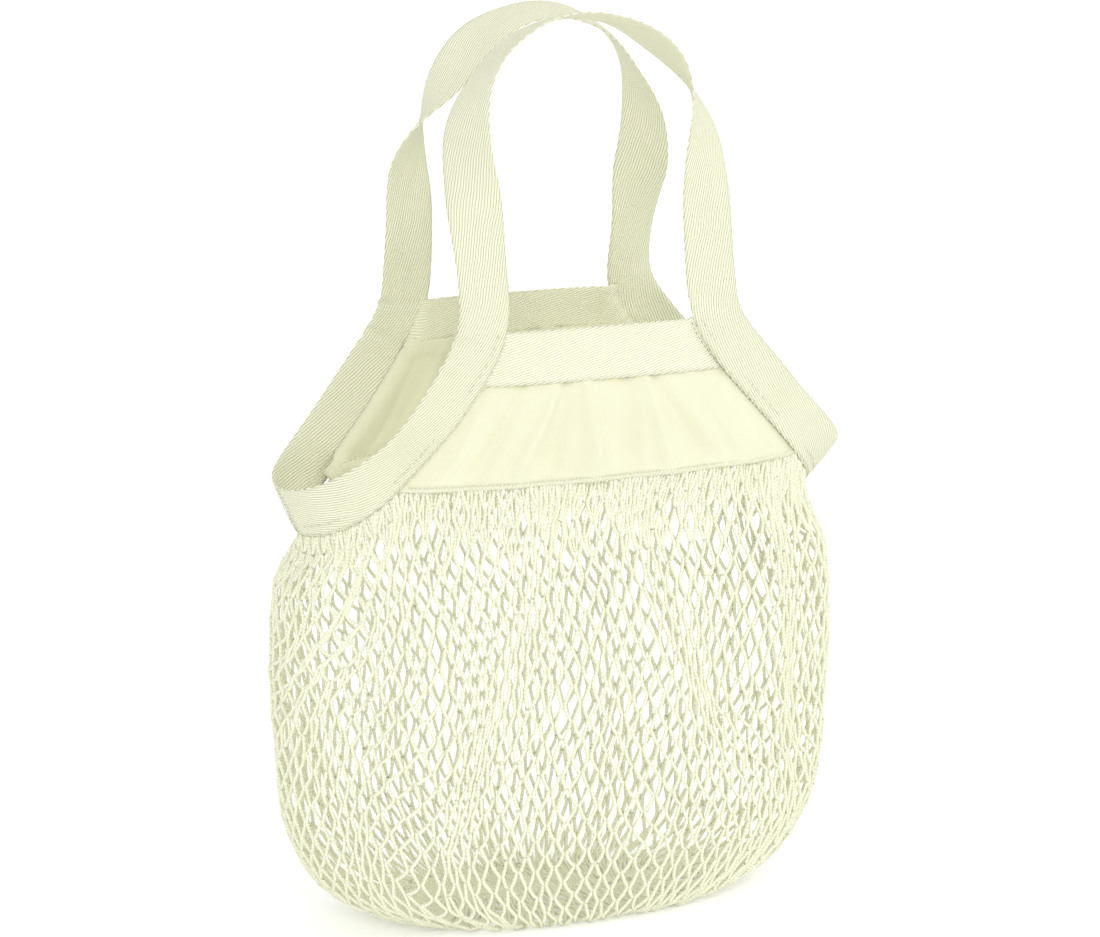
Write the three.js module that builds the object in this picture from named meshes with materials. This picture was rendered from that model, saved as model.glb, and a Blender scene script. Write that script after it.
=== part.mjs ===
// String shopping bag: a gathered net on two cotton yokes, bound and carried by two webbing tapes.
// Units are millimetres and +Z is up. The origin is the hang point, where both handles cross
// over whatever holds the bag up. -Y is the front and +X is the bag's right as seen from there.

import * as THREE from 'three'

// Driving dimensions
const sizes = {
  webbingWidth: 30,
  webbingThickness: 1.6,
  yokeThickness: 1.0,
  netThickness: 2.0,
  seamGap: 0.7,           // clearance left wherever two pieces are sewn together
  handleRise: 165,        // rim up to the middle of the handle arch
  mouthDepth: 102,        // front rim to back rim
  legSpacing: 135,        // between the middles of a handle's two legs at the rim
  archSpacing: 142,       // the same where the arch begins, since the legs bow out a little
  handleTopSpacing: 36,   // between the middles of the two tapes at the top
  seamHalfWidth: 158,     // middle of the bag to the middle of the tape at a side seam
  leftSeamDrop: 97,       // rim down to the middle of the tape at the left side seam
  rightSeamDrop: 101,     // the same at the right side seam
  yokeDrop: 83,           // rim down to the stitched lower edge of a yoke
  netHalfWidth: 166,
  netHalfDepth: 80,
  bandHeight: 28.5,       // the rim band's webbing leans a little, so it shows less than its width
  floorDrop: 334,         // rim down to the underside of the net
}

// How each handle departs from a level, square one: its sideways shift, how high its rim band
// rides, the height at which its arch begins, and how boxy its half of the mouth is in plan
const handles = {
  front: { facing: -1, shift: 4.5, rimLift: 0, springing: 96, planPower: 3.0, left: 'frontLeft', right: 'frontRight' },
  back: { facing: 1, shift: 0, rimLift: 3, springing: 82, planPower: 2.3, left: 'backLeft', right: 'backRight' },
}

// Twist of each leg in degrees, by height as a share of handleRise: 0 lies flat in the panel and
// 90 lies across the bag, as on a bucket's handle. The slack tape turns a little past that.
const legTwists = [
  { height: 0.00, frontLeft: -4, frontRight: 0, backLeft: 2, backRight: -14 },
  { height: 0.20, frontLeft: -4, frontRight: 0, backLeft: 5, backRight: -16 },
  { height: 0.36, frontLeft: 8, frontRight: 4, backLeft: 12, backRight: 0 },
  { height: 0.45, frontLeft: 30, frontRight: 13, backLeft: 19, backRight: 34 },
  { height: 0.55, frontLeft: 50, frontRight: 23, backLeft: 33, backRight: 56 },
  { height: 0.64, frontLeft: 58, frontRight: 39, backLeft: 56, backRight: 67 },
  { height: 0.73, frontLeft: 76, frontRight: 62, backLeft: 80, backRight: 82 },
  { height: 0.82, frontLeft: 94, frontRight: 86, backLeft: 94, backRight: 94 },
  { height: 0.91, frontLeft: 100, frontRight: 98, backLeft: 98, backRight: 98 },
  { height: 1.00, frontLeft: 90, frontRight: 90, backLeft: 90, backRight: 90 },
]

const rimY = sizes.mouthDepth / 2
const halfTape = sizes.webbingWidth / 2
const hangShift = (handles.front.shift + handles.back.shift) / 2

// How far a panel leans out as it goes down. On each side: how far the tape tips in under its
// free edge at the seam, how its drop along the mouth builds up, and how it flares on the way.
const panelLean = 0.128
const sides = {
  left: { hand: -1, seamDrop: sizes.leftSeamDrop, seamTip: 0.5, diagonalPower: 1.9, flare: 0.45 },
  right: { hand: 1, seamDrop: sizes.rightSeamDrop, seamTip: 1.2, diagonalPower: 1.35, flare: 0 },
}
const stationSpacing = 7
const bendSmoothing = 2

// Section of the net by depth: every column is a share, of the drop from the net's top edge to the
// floor, of netHalfWidth and of netHalfDepth, and the power of the superellipse it follows
const netSections = [
  { drop: 0.00, width: 0.930, depth: 0.80, power: 2.6 },
  { drop: 0.10, width: 0.965, depth: 0.87, power: 2.5 },
  { drop: 0.22, width: 0.990, depth: 0.94, power: 2.4 },
  { drop: 0.36, width: 1.000, depth: 0.99, power: 2.3 },
  { drop: 0.52, width: 0.992, depth: 1.00, power: 2.2 },
  { drop: 0.66, width: 0.978, depth: 1.00, power: 2.2 },
  { drop: 0.77, width: 0.950, depth: 0.98, power: 2.2 },
  { drop: 0.86, width: 0.895, depth: 0.94, power: 2.2 },
  { drop: 0.93, width: 0.810, depth: 0.87, power: 2.2 },
  { drop: 0.98, width: 0.690, depth: 0.79, power: 2.2 },
  { drop: 1.00, width: 0.540, depth: 0.68, power: 2.2 },
  { drop: 1.00, width: 0.100, depth: 0.15, power: 2.0 },
]
const netColumns = 16
const netRows = 7
const gapShare = 0.66      // size of each gap in the net, as a share of its diamond
const topBlend = 0.16      // share of the net's drop over which it takes up its own section

const colours = {
  webbing: 0xf3f1dc,
  yoke: 0xf8f6de,
  net: 0xf0f0da,
}

// Small helpers
const mix = THREE.MathUtils.lerp
const smooth = (value, from, to) => THREE.MathUtils.smoothstep(value, from, to)

function superellipsePoint(angle, power) {
  return [Math.sin(angle) ** (2 / power), Math.cos(angle) ** (2 / power)]
}

// A quarter of a plan section, from the middle of a panel round to the side, by arc length
class QuarterPlan extends THREE.Curve {
  constructor(halfWidth, halfDepth, power) {
    super()
    this.halfWidth = halfWidth
    this.halfDepth = halfDepth
    this.power = power
    this.arcLengthDivisions = 400
  }

  getPoint(share) {
    const angle = share * Math.PI / 2
    const [across, away] = superellipsePoint(angle, this.power)
    return new THREE.Vector3(this.halfWidth * across, this.halfDepth * away, 0)
  }
}

// Gives a sheet its thickness: both faces, and a wall along every open edge
function thicken(points, triangles, thickness) {
  const sheet = new THREE.BufferGeometry()
  sheet.setAttribute('position', new THREE.Float32BufferAttribute(points.flatMap((p) => p.toArray()), 3))
  sheet.setIndex(triangles.flat())
  sheet.computeVertexNormals()
  const normals = sheet.getAttribute('normal')
  const faces = [1, -1].map((side) => points.map((point, index) => {
    const normal = new THREE.Vector3().fromBufferAttribute(normals, index)
    return point.clone().addScaledVector(normal, side * thickness / 2)
  }))
  const count = points.length
  const solid = triangles.flatMap(([a, b, c]) => [[a, b, c], [a + count, c + count, b + count]])
  const directed = new Set(triangles.flatMap(([a, b, c]) => [`${a},${b}`, `${b},${c}`, `${c},${a}`]))
  for (const edge of directed) {
    const [from, to] = edge.split(',').map(Number)
    if (!directed.has(`${to},${from}`)) {
      solid.push([from, from + count, to], [to, from + count, to + count])
    }
  }
  const geometry = new THREE.BufferGeometry()
  const positions = faces.flat().flatMap((p) => p.toArray())
  geometry.setAttribute('position', new THREE.Float32BufferAttribute(positions, 3))
  geometry.setIndex(solid.flat())
  geometry.computeVertexNormals()
  return geometry
}

// A sheet from a grid of rows of points, all rows of one length
function gridSheet(rows, thickness, flip) {
  const across = rows[0].length
  const triangles = []
  for (let row = 0; row + 1 < rows.length; row += 1) {
    for (let column = 0; column + 1 < across; column += 1) {
      const corner = row * across + column
      const quad = [corner, corner + 1, corner + across + 1, corner + across]
      const ordered = flip ? [...quad].reverse() : quad
      triangles.push([ordered[0], ordered[1], ordered[2]], [ordered[0], ordered[2], ordered[3]])
    }
  }
  return thicken(rows.flat(), triangles, thickness)
}

function twistAt(share, column) {
  const after = Math.max(legTwists.findIndex(({ height }) => height >= share), 1)
  const lower = legTwists[after - 1]
  const upper = legTwists[after]
  const within = (share - lower.height) / (upper.height - lower.height)
  return THREE.MathUtils.degToRad(mix(lower[column], upper[column], within))
}

// Half of a handle's tape, from the top of the arch down one leg and along the mouth to the seam.
// Each station has the tape's middle and the direction from its inner to its outer edge.
function halfTapeStations(handle, side) {
  const { hand } = side
  const stations = []
  const legX = sizes.legSpacing / 2
  const archX = sizes.archSpacing / 2
  const archHeight = sizes.handleRise - handle.springing
  const twistColumn = hand > 0 ? handle.right : handle.left
  const place = (x, y, z, across) => stations.push({
    middle: new THREE.Vector3(x, y, z),
    across: across.normalize(),
  })

  const lean = (rimY - sizes.handleTopSpacing / 2) / sizes.handleRise
  const placeOnHandle = (x, height) => {
    const twist = twistAt(height / sizes.handleRise, twistColumn)
    const sideways = -handle.facing * Math.sin(twist)
    const across = new THREE.Vector3(hand * Math.cos(twist), sideways, -lean * Math.sin(twist))
    place(handle.shift + hand * x, handle.facing * (rimY - lean * height), height, across)
  }

  const archSteps = Math.round(1.5 * archX / stationSpacing)
  for (let step = 0; step < archSteps; step += 1) {
    const angle = (1 - step / archSteps) * Math.PI / 2
    placeOnHandle(archX * Math.cos(angle), handle.springing + archHeight * Math.sin(angle))
  }
  const legSteps = Math.round(handle.springing / stationSpacing)
  for (let step = 0; step < legSteps; step += 1) {
    const up = 1 - step / legSteps
    placeOnHandle(mix(legX, archX, up ** 2), handle.springing * up)
  }

  const plan = new QuarterPlan(sizes.seamHalfWidth, rimY, handle.planPower)
  const legShare = (legX + hand * handle.shift) / plan.getLength()
  const run = plan.getLength() * (1 - legShare)
  const seamSteps = Math.round(Math.hypot(run, side.seamDrop) / stationSpacing)
  for (let step = 0; step <= seamSteps; step += 1) {
    const along = step / seamSteps
    const onPlan = plan.getPointAt(mix(legShare, 1, along))
    const depth = side.seamDrop * (1 - (1 - along) ** side.diagonalPower)
    const away = onPlan.y * (1 + panelLean * depth / rimY)
    const tip = smooth(along, 0.35, 1)
    const flare = side.flare * Math.sin(along * Math.PI)
    const outward = flare - panelLean * (1 - tip)
    const across = new THREE.Vector3(hand * side.seamTip * tip, handle.facing * outward, 1)
    place(hand * onPlan.x, handle.facing * away, -depth, across)
  }
  return stations
}

// The whole tape of one handle, from the left side seam over the arch to the right side seam
function tapeStations(handle) {
  const left = halfTapeStations(handle, sides.left).reverse()
  const right = halfTapeStations(handle, sides.right)
  let stations = [...left, ...right.slice(1)]
  for (let pass = 0; pass < bendSmoothing; pass += 1) {
    stations = stations.map((station, index) => {
      const before = stations[index - 1]
      const after = stations[index + 1]
      if (!before || !after) return station
      const middle = before.middle.clone().add(after.middle).addScaledVector(station.middle, 2)
      const across = before.across.clone().add(after.across).addScaledVector(station.across, 2)
      return { middle: middle.divideScalar(4), across: across.normalize() }
    })
  }
  return stations.map((station, index) => {
    const before = stations[Math.max(index - 1, 0)].middle
    const after = stations[Math.min(index + 1, stations.length - 1)].middle
    const ahead = after.clone().sub(before).normalize()
    const across = station.across.clone().addScaledVector(ahead, -station.across.dot(ahead))
    return { middle: station.middle, across: across.normalize() }
  })
}

const tapes = {
  front: tapeStations(handles.front),
  back: tapeStations(handles.back),
}

function tapeGeometry(name) {
  const rows = tapes[name].map(({ middle, across }) => [
    middle.clone().addScaledVector(across, -halfTape),
    middle.clone().addScaledVector(across, halfTape),
  ])
  const { facing } = handles[name]
  const geometry = gridSheet(rows, sizes.webbingThickness, facing > 0)

  // Both ends are cut off square where the two tapes meet at the side seams
  const position = geometry.getAttribute('position')
  for (let index = 0; index < position.count; index += 1) {
    position.setY(index, facing * Math.max(facing * position.getY(index), sizes.seamGap / 2))
  }
  return geometry
}

// The inner edge of a tape on one side: it goes down the leg, then along the yoke and the net
function innerEdge(name, hand) {
  const stations = tapes[name]
  const middleIndex = (stations.length - 1) / 2
  const half = hand > 0 ? stations.slice(middleIndex) : stations.slice(0, middleIndex + 1).reverse()
  return half.map(({ middle, across }) => middle.clone().addScaledVector(across, -halfTape - sizes.seamGap))
}

// Where that edge is at a given depth below the rim
function edgeAtDepth(edge, depth) {
  const after = Math.max(edge.findIndex((point) => point.z <= -depth), 1)
  const upper = edge[after - 1]
  const lower = edge[after]
  return upper.clone().lerp(lower, (upper.z + depth) / (upper.z - lower.z))
}

// One level row of the sewn panel between the two tapes, bulging a little in plan
const panelPower = 2.6

function panelRow(name, depth, columns) {
  const { facing } = handles[name]
  const left = edgeAtDepth(innerEdge(name, -1), depth)
  const right = edgeAtDepth(innerEdge(name, 1), depth)
  const middle = (left.x + right.x) / 2
  const half = (right.x - left.x) / 2
  const edgeAway = (Math.abs(left.y) + Math.abs(right.y)) / 2
  const away = Math.max(rimY + panelLean * depth, edgeAway)
  const row = []
  for (let column = 0; column <= columns; column += 1) {
    const across = 2 * column / columns - 1
    const edgeY = mix(Math.abs(left.y), Math.abs(right.y), column / columns)
    const bulge = (away - edgeAway) * (1 - Math.abs(across) ** panelPower)
    row.push(new THREE.Vector3(middle + half * across, facing * (edgeY + bulge), -depth))
  }
  return row
}

// Soft upright wrinkles of a yoke, deepest near its gathered lower edge
const wrinkles = [
  { at: -0.72, width: 0.05, depth: 1.1 },
  { at: -0.38, width: 0.07, depth: -0.9 },
  { at: -0.10, width: 0.06, depth: 1.2 },
  { at: 0.14, width: 0.05, depth: -1.0 },
  { at: 0.42, width: 0.07, depth: 0.9 },
  { at: 0.70, width: 0.05, depth: -1.0 },
]

function panelGeometry(name, fromDepth, toDepth, rowCount, thickness, wrinkled) {
  const columns = 22
  const rows = []
  for (let row = 0; row <= rowCount; row += 1) {
    const depth = mix(fromDepth, toDepth, row / rowCount)
    rows.push(panelRow(name, depth, columns))
    if (wrinkled) {
      rows[row].forEach((point, column) => {
        const across = 2 * column / columns - 1
        const fading = (row / rowCount) * (1 - across ** 4)
        const push = wrinkles.reduce((sum, wrinkle) => (
          sum + wrinkle.depth * Math.exp(-(((across - wrinkle.at) / wrinkle.width) ** 2))), 0)
        point.y += handles[name].facing * push * fading
      })
    }
  }
  return gridSheet(rows, thickness, handles[name].facing > 0)
}

// The net's top edge in one quarter: the yoke's lower edge, then the tape's edge round to the seam
function netTopQuarter(name, hand) {
  const edge = innerEdge(name, hand)
  const yokeRow = panelRow(name, sizes.yokeDrop, 40)
  const yokeHalf = hand > 0 ? yokeRow.slice(20) : yokeRow.slice(0, 21).reverse()
  const besideTape = edge.filter((point) => point.z < -sizes.yokeDrop)
  const path = new THREE.CurvePath()
  const points = [...yokeHalf, ...besideTape]
  points[points.length - 1].y = 0
  points.slice(1).forEach((point, index) => path.add(new THREE.LineCurve3(points[index], point)))
  return path
}

const netTop = [
  netTopQuarter('front', 1),
  netTopQuarter('back', 1),
  netTopQuarter('back', -1),
  netTopQuarter('front', -1),
]

// Turns a place round the bag, from 0 at the middle of the front, into a quarter and a share of it
function quarterOf(round) {
  const turn = ((round % 1) + 1) % 1
  const quarter = Math.min(Math.floor(turn * 4), 3)
  const inside = turn * 4 - quarter
  return { quarter, share: quarter % 2 === 0 ? inside : 1 - inside }
}

const quarterSigns = [[1, -1], [1, 1], [-1, 1], [-1, -1]]
const unitPlans = netSections.map(({ width, depth, power }) => (
  new QuarterPlan(sizes.netHalfWidth * width, sizes.netHalfDepth * depth, power)))

// Broad folds of the slack net: place round the bag, width and depth, and where down it each one ends
const netFolds = [
  { at: 0.055, width: 0.018, depth: 4.0, from: 0.05, to: 0.75 },
  { at: 0.955, width: 0.022, depth: 5.0, from: 0.02, to: 0.90 },
  { at: 0.130, width: 0.016, depth: 4.0, from: 0.05, to: 0.70 },
  { at: 0.855, width: 0.020, depth: 5.0, from: 0.05, to: 0.85 },
  { at: 0.445, width: 0.020, depth: 4.0, from: 0.05, to: 0.80 },
  { at: 0.560, width: 0.020, depth: 4.0, from: 0.05, to: 0.80 },
]

// A point of the net: place round the bag, and share of the way down its side and over its base
function netPoint(round, down) {
  const { quarter, share } = quarterOf(round)
  const [xSign, ySign] = quarterSigns[quarter]
  const top = netTop[quarter].getPointAt(share)
  const place = Math.min(down, 1) * (netSections.length - 1)
  const level = Math.min(Math.floor(place), netSections.length - 2)
  const within = place - level
  const upper = unitPlans[level].getPointAt(share)
  const lower = unitPlans[level + 1].getPointAt(share)
  const drop = mix(netSections[level].drop, netSections[level + 1].drop, within)
  const floor = -sizes.floorDrop + sizes.netThickness / 2
  const start = top.z - sizes.netThickness / 2 - sizes.seamGap
  const own = new THREE.Vector3(
    xSign * mix(upper.x, lower.x, within),
    ySign * mix(upper.y, lower.y, within),
    mix(start, floor, drop),
  )
  const blend = smooth(drop, 0, topBlend)
  const seated = new THREE.Vector3(top.x, top.y, own.z)
  const point = seated.lerp(own, blend)
  const inward = netFolds.reduce((sum, fold) => {
    const near = Math.exp(-(((round - fold.at) / fold.width) ** 2))
    return sum + fold.depth * near * smooth(drop, fold.from, fold.from + 0.2) * (1 - smooth(drop, fold.to - 0.2, fold.to))
  }, 0)
  const plan = new THREE.Vector3(point.x, point.y, 0)
  return point.addScaledVector(plan.normalize(), -inward)
}

// Where each row of diamonds ends, as a share of the list of sections
function rowPlace(row) {
  return row / (netRows + 1)
}

function netGeometry() {
  const points = []
  const triangles = []
  const known = new Map()
  const vertex = (column, row) => {
    const turn = ((column % netColumns) + netColumns) % netColumns
    const key = `${turn.toFixed(4)},${row.toFixed(4)}`
    if (!known.has(key)) {
      known.set(key, points.length)
      points.push(netPoint(turn / netColumns, rowPlace(row)))
    }
    return known.get(key)
  }

  // One diamond: eight points round its sides and eight round its gap
  const rimOffsets = [[0, -1], [0.25, -0.5], [0.5, 0], [0.25, 0.5], [0, 1], [-0.25, 0.5], [-0.5, 0], [-0.25, -0.5]]
  const diamond = (column, row) => {
    rimOffsets.forEach(([dx, dy], index) => {
      const [nextX, nextY] = rimOffsets[(index + 1) % rimOffsets.length]
      const outer = vertex(column + dx, row + dy)
      const outerNext = vertex(column + nextX, row + nextY)
      const inner = vertex(column + dx * gapShare, row + dy * gapShare)
      const innerNext = vertex(column + nextX * gapShare, row + nextY * gapShare)
      triangles.push([outer, inner, outerNext], [outerNext, inner, innerNext])
    })
  }
  for (let row = 1; row <= netRows; row += 1) {
    for (let column = 0; column < netColumns; column += 1) diamond(column + (row % 2) / 2, row)
  }

  // Closed triangles along the top edge and round the middle of the base
  const bottom = netRows + 1
  const lastShift = (netRows % 2) / 2
  const centre = points.length
  const ring = []
  points.push(new THREE.Vector3(0, 0, -sizes.floorDrop + sizes.netThickness / 2))
  for (let column = 0; column < netColumns; column += 1) {
    const left = column + 0.5
    const top = [vertex(left, 0), vertex(left + 1, 0)]
    const tip = vertex(left + 0.5, 1)
    const sides = [vertex(left + 0.25, 0.5), vertex(left + 0.75, 0.5)]
    triangles.push([top[0], sides[0], top[1]], [top[1], sides[0], sides[1]], [sides[0], tip, sides[1]])
    const low = column + lastShift
    const base = [vertex(low, bottom), vertex(low + 1, bottom)]
    const peak = vertex(low + 0.5, bottom - 1)
    const flanks = [vertex(low + 0.25, bottom - 0.5), vertex(low + 0.75, bottom - 0.5)]
    triangles.push([base[0], base[1], flanks[0]], [base[1], flanks[1], flanks[0]], [flanks[0], flanks[1], peak])
    ring.push([base[0], centre, base[1]])
  }
  triangles.push(...ring)
  return thicken(points, triangles, sizes.netThickness)
}

// The bag is modelled from the middle of its rim and hung with the handle tops at the origin
const bag = new THREE.Group()
bag.position.set(-hangShift, 0, -sizes.handleRise + sizes.webbingThickness / 2)

function addPiece(name, geometry, colour) {
  const material = new THREE.MeshStandardMaterial({ color: colour, roughness: 0.95, metalness: 0, side: THREE.FrontSide })
  const mesh = new THREE.Mesh(geometry, material)
  mesh.name = name
  bag.add(mesh)
}

addPiece('net_body', netGeometry(), colours.net)
for (const name of ['front', 'back']) {
  const bandStart = -handles[name].rimLift
  const bandEnd = bandStart + sizes.bandHeight
  const yokeStart = bandEnd + sizes.seamGap
  const band = panelGeometry(name, bandStart, bandEnd, 6, sizes.webbingThickness, false)
  addPiece(`${name}_handle`, tapeGeometry(name), colours.webbing)
  addPiece(`${name}_rim_band`, band, colours.webbing)
  addPiece(`${name}_yoke`, panelGeometry(name, yokeStart, sizes.yokeDrop, 6, sizes.yokeThickness, true), colours.yoke)
}

const shoppingBag = new THREE.Group()
shoppingBag.add(bag)

export default shoppingBag
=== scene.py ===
"""String shopping bag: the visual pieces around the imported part.

Everything is in metres in the row frame: the origin is the hang point, +Z is up, -Y is the front.
The tapes, bands and yokes follow the solids' own sizes. The net is worked out here, bar by bar.
"""
import math

import bpy
import numpy as np
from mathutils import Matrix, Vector


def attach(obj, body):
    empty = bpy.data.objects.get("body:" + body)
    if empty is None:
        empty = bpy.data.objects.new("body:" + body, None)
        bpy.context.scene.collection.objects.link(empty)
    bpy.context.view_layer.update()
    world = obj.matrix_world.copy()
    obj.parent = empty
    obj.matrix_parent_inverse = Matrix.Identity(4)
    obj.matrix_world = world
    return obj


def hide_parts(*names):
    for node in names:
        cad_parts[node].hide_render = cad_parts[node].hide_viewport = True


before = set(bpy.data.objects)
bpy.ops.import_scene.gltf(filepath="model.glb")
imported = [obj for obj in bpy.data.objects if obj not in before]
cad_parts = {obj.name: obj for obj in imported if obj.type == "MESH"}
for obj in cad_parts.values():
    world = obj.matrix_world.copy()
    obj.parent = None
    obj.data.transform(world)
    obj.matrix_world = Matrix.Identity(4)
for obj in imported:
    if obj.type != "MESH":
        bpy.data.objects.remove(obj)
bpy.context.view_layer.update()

# Driving sizes, as in the solids
WEBBING_WIDTH = 0.030
WEBBING_THICKNESS = 0.0016
YOKE_THICKNESS = 0.0010
HANDLE_RISE = 0.165
MOUTH_DEPTH = 0.102
LEG_SPACING = 0.135
ARCH_SPACING = 0.142
HANDLE_TOP_SPACING = 0.036
SEAM_HALF_WIDTH = 0.158
YOKE_DROP = 0.083
YOKE_ENDS = {"front": 0.083, "back": 0.091}
NET_HALF_WIDTH = 0.166
NET_HALF_DEPTH = 0.080
BAND_HEIGHT = 0.0285
FLOOR_DROP = 0.334
PANEL_LEAN = 0.128
PANEL_POWER = 2.6
RIM_Y = MOUTH_DEPTH / 2
HALF_TAPE = WEBBING_WIDTH / 2
STATION_SPACING = 0.007    # between the stations of a tape's middle line
SEAM_CLEARANCE = 0.0007    # between a tape's inner edge and the line where the panels end
SEAM_ALLOWANCE = 0.007     # how far a panel goes on behind the tape
TUCK_REACH = 0.006         # how far from the tape a panel starts to dip behind it
FLAP_START = 0.0018        # above and below the net's seam, where a longer yoke turns inward
FLAP_DEPTH = 0.0045        # how far inside the bag such a yoke hangs

HANDLES = {
    "front": dict(facing=-1, shift=0.0045, rim_lift=0.0, springing=0.096, plan_power=3.0),
    "back": dict(facing=1, shift=0.0, rim_lift=0.003, springing=0.082, plan_power=2.3),
}
SIDES = {
    -1: dict(seam_drop=0.097, seam_tip=0.5, diagonal_power=1.9, flare=0.45),
    1: dict(seam_drop=0.101, seam_tip=1.2, diagonal_power=1.35, flare=0.0),
}

# Twist of each leg in degrees by height, as a share of the handle's rise. The front left leg turns
# over a little less than in the solids, and the back left leg a little further
LEG_TWISTS = {
    "height": (0.00, 0.20, 0.36, 0.45, 0.55, 0.64, 0.73, 0.82, 0.91, 1.00),
    ("front", -1): (-4, -4, 8, 30, 50, 58, 70, 84, 90, 88),
    ("front", 1): (0, 0, 4, 13, 23, 39, 62, 86, 98, 90),
    ("back", -1): (2, 5, 12, 19, 33, 56, 92, 112, 114, 98),
    ("back", 1): (-14, -16, 0, 34, 56, 67, 82, 94, 98, 90),
}

# The bag is worked out from the middle of its rim and hung with the handle tops at the origin
HANG = np.array([-0.00225, 0.0, -HANDLE_RISE + WEBBING_THICKNESS / 2])
FLOOR_Z = HANG[2] - FLOOR_DROP


# Small helpers
def unit(v):
    return v / np.maximum(np.linalg.norm(v, axis=-1, keepdims=True), 1e-12)


def smooth(value, start, end):
    t = np.clip((value - start) / (end - start), 0.0, 1.0)
    return t * t * (3 - 2 * t)


def mix(a, b, t):
    return a + (b - a) * t


class QuarterPlan:
    """A quarter of a superellipse, from the middle of a panel round to the side, by arc length."""

    def __init__(self, half_width, half_depth, power):
        angle = np.linspace(0, np.pi / 2, 401)
        self.x = half_width * np.sin(angle) ** (2 / power)
        self.y = half_depth * np.clip(np.cos(angle), 0, 1) ** (2 / power)
        steps = np.hypot(np.diff(self.x), np.diff(self.y))
        self.run = np.concatenate([[0], np.cumsum(steps)])
        self.length = self.run[-1]

    def at(self, share):
        s = np.asarray(share) * self.length
        return np.interp(s, self.run, self.x), np.interp(s, self.run, self.y)


# The tapes
def half_tape(name, hand):
    """Stations of half a tape, from the top of its arch down one leg and along the mouth."""
    handle, side = HANDLES[name], SIDES[hand]
    facing = handle["facing"]
    leg_x, arch_x = LEG_SPACING / 2, ARCH_SPACING / 2
    arch_height = HANDLE_RISE - handle["springing"]
    lean = (RIM_Y - HANDLE_TOP_SPACING / 2) / HANDLE_RISE
    middles, acrosses = [], []

    def on_handle(x, height):
        share = height / HANDLE_RISE
        twist = math.radians(np.interp(share, LEG_TWISTS["height"], LEG_TWISTS[(name, hand)]))
        middles.append([handle["shift"] + hand * x, facing * (RIM_Y - lean * height), height])
        acrosses.append([hand * math.cos(twist), -facing * math.sin(twist), -lean * math.sin(twist)])

    arch_steps = round(1.5 * arch_x / STATION_SPACING)
    for step in range(arch_steps):
        angle = (1 - step / arch_steps) * math.pi / 2
        on_handle(arch_x * math.cos(angle), handle["springing"] + arch_height * math.sin(angle))
    leg_steps = round(handle["springing"] / STATION_SPACING)
    for step in range(leg_steps):
        up = 1 - step / leg_steps
        on_handle(mix(leg_x, arch_x, up**2), handle["springing"] * up)

    plan = QuarterPlan(SEAM_HALF_WIDTH, RIM_Y, handle["plan_power"])
    leg_share = (leg_x + hand * handle["shift"]) / plan.length
    run = plan.length * (1 - leg_share)
    seam_steps = round(math.hypot(run, side["seam_drop"]) / STATION_SPACING)
    for step in range(seam_steps + 1):
        along = step / seam_steps
        x, y = plan.at(mix(leg_share, 1, along))
        depth = side["seam_drop"] * (1 - (1 - along) ** side["diagonal_power"])
        tip = float(smooth(along, 0.35, 1))
        outward = side["flare"] * math.sin(along * math.pi) - PANEL_LEAN * (1 - tip)
        middles.append([hand * x, facing * y * (1 + PANEL_LEAN * depth / RIM_Y), -depth])
        acrosses.append([hand * side["seam_tip"] * tip, facing * outward, 1.0])
    return np.array(middles, float), unit(np.array(acrosses, float))


def square_up(middle, across):
    """Tangents, and across made square to them."""
    ahead = np.gradient(middle, axis=0)
    ahead = unit(ahead)
    across = across - (across * ahead).sum(1, keepdims=True) * ahead
    return ahead, unit(across)


def whole_tape(name):
    left_m, left_a = half_tape(name, -1)
    right_m, right_a = half_tape(name, 1)
    middle = np.concatenate([left_m[::-1], right_m[1:]])
    across = np.concatenate([left_a[::-1], right_a[1:]])
    for _ in range(2):
        soft_m, soft_a = middle.copy(), across.copy()
        soft_m[1:-1] = (middle[:-2] + 2 * middle[1:-1] + middle[2:]) / 4
        soft_a[1:-1] = unit(across[:-2] + 2 * across[1:-1] + across[2:])
        middle, across = soft_m, soft_a
    return middle, square_up(middle, across)[1]


TAPES = {name: whole_tape(name) for name in HANDLES}


def refine(rows, times):
    """Rows of a table, with Catmull-Rom steps put in between."""
    padded = np.concatenate([2 * rows[:1] - rows[1:2], rows, 2 * rows[-1:] - rows[-2:-1]])
    a, b, c, d = padded[:-3], padded[1:-2], padded[2:-1], padded[3:]
    parts = []
    for step in range(times):
        t = step / times
        parts.append(0.5 * (2 * b + (c - a) * t + (2 * a - 5 * b + 4 * c - d) * t**2
                            + (3 * b - a - 3 * c + d) * t**3))
    fine = np.stack(parts, 1).reshape(-1, rows.shape[1])
    return np.concatenate([fine, rows[-1:]])


def inner_edge(name, hand):
    """The inner edge of a tape on one side, going down, with its across and outward directions."""
    middle, across = TAPES[name]
    half = (len(middle) - 1) // 2
    pick = slice(half, None) if hand > 0 else slice(half, None, -1)
    middle, across = middle[pick], across[pick]
    ahead, across = square_up(middle, across)
    out = unit(np.cross(ahead, across))
    out *= np.sign(out[:, 1:2] * HANDLES[name]["facing"] + 1e-9)
    edge = middle - across * (HALF_TAPE + SEAM_CLEARANCE)
    return edge, across, out


EDGES = {(name, hand): inner_edge(name, hand) for name in HANDLES for hand in (-1, 1)}


def edge_at_depth(name, hand, depth):
    edge, across, out = EDGES[(name, hand)]
    lower = max(int(np.argmax(edge[:, 2] <= -depth)), 1)
    share = (edge[lower - 1, 2] + depth) / (edge[lower - 1, 2] - edge[lower, 2])
    return [mix(table[lower - 1], table[lower], share) for table in (edge, across, out)]


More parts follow.
